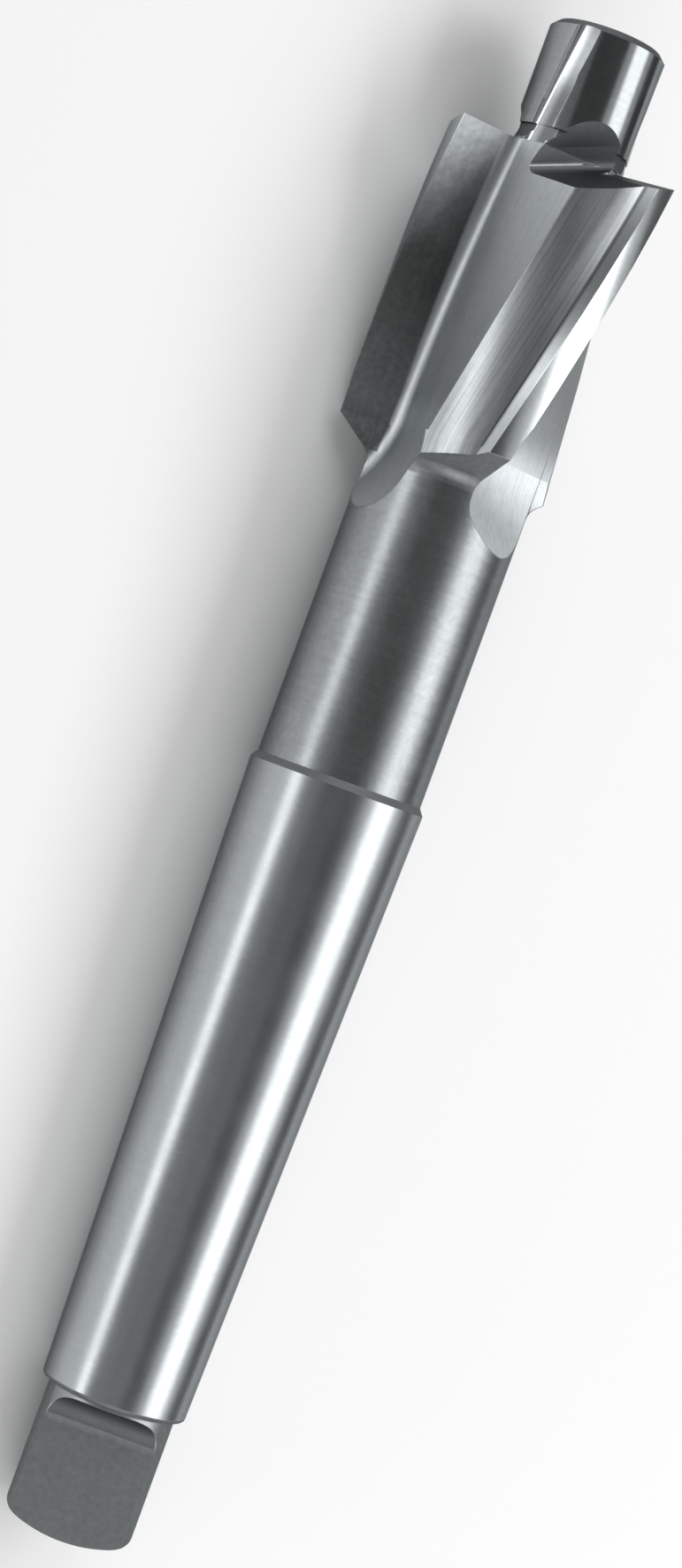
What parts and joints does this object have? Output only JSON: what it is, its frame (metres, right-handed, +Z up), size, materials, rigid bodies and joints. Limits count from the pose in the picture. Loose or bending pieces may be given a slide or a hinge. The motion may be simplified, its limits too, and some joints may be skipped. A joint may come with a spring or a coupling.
{
  "type": "piloted counterbore",
  "caption": "Solid counterbore with a fixed pilot ahead of a helical fluted cutting head, and a taper shank that ends in a flat-sided tang.",
  "frame": {"origin": "on the bench, under the middle of the lying piece", "axes": "+X along the tool from the pilot to the tang; +Z up from the bench"},
  "size_m": [0.1572, 0.0248, 0.0229],
  "materials": {
    "counterbore": "ground and turned, bright"
  },
  "bodies": {
    "root": {"counterbore": "counterbore"}
  },
  "joints": []
}
